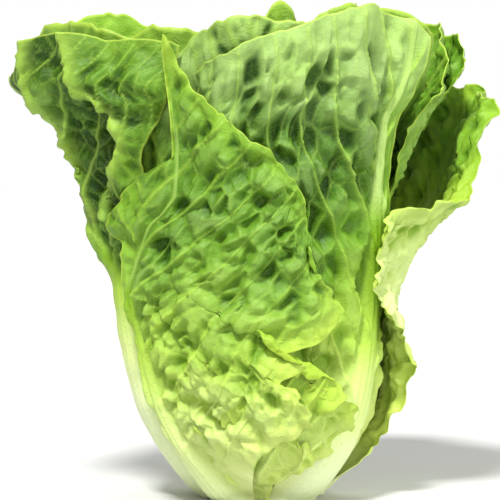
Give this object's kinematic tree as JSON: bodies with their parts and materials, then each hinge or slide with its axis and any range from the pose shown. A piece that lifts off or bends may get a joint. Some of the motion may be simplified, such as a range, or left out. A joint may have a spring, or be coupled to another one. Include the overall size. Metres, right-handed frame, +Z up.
{
  "type": "romaine lettuce head",
  "caption": "Whole romaine lettuce head with savoyed upright leaves flaring open at the top, standing on its trimmed butt; for kitchen, market and meal scenes.",
  "frame": {"origin": "centre of the trimmed butt's flat cut face, which the head stands on", "axes": "+Z up along the head, -Y towards the front of the head, +X to the right seen from the front"},
  "size_m": [0.1917, 0.1615, 0.1964],
  "materials": {
    "stump_flesh": "matte",
    "outer_leaf": "satin",
    "inner_leaf": "satin",
    "heart_leaf": "satin"
  },
  "bodies": {
    "root": {"stump": "stump_flesh", "front_left_leaf": "outer_leaf", "right_leaf": "outer_leaf", "back_left_outer_leaf": "outer_leaf", "left_leaf": "outer_leaf", "front_right_leaf": "outer_leaf", "back_leaf": "outer_leaf", "front_middle_leaf": "outer_leaf", "right_inner_leaf": "outer_leaf", "back_left_tall_leaf": "outer_leaf", "inner_leaf_01": "inner_leaf", "inner_leaf_02": "inner_leaf", "inner_leaf_03": "inner_leaf", "inner_leaf_04": "inner_leaf", "inner_leaf_05": "inner_leaf", "inner_leaf_06": "inner_leaf", "inner_leaf_07": "inner_leaf", "inner_leaf_08": "inner_leaf", "inner_leaf_09": "inner_leaf", "inner_leaf_10": "heart_leaf", "inner_leaf_11": "heart_leaf", "inner_leaf_12": "heart_leaf", "inner_leaf_13": "heart_leaf", "inner_leaf_14": "heart_leaf", "inner_leaf_15": "heart_leaf", "inner_leaf_16": "heart_leaf", "inner_leaf_17": "heart_leaf", "inner_leaf_18": "heart_leaf"}
  },
  "joints": []
}
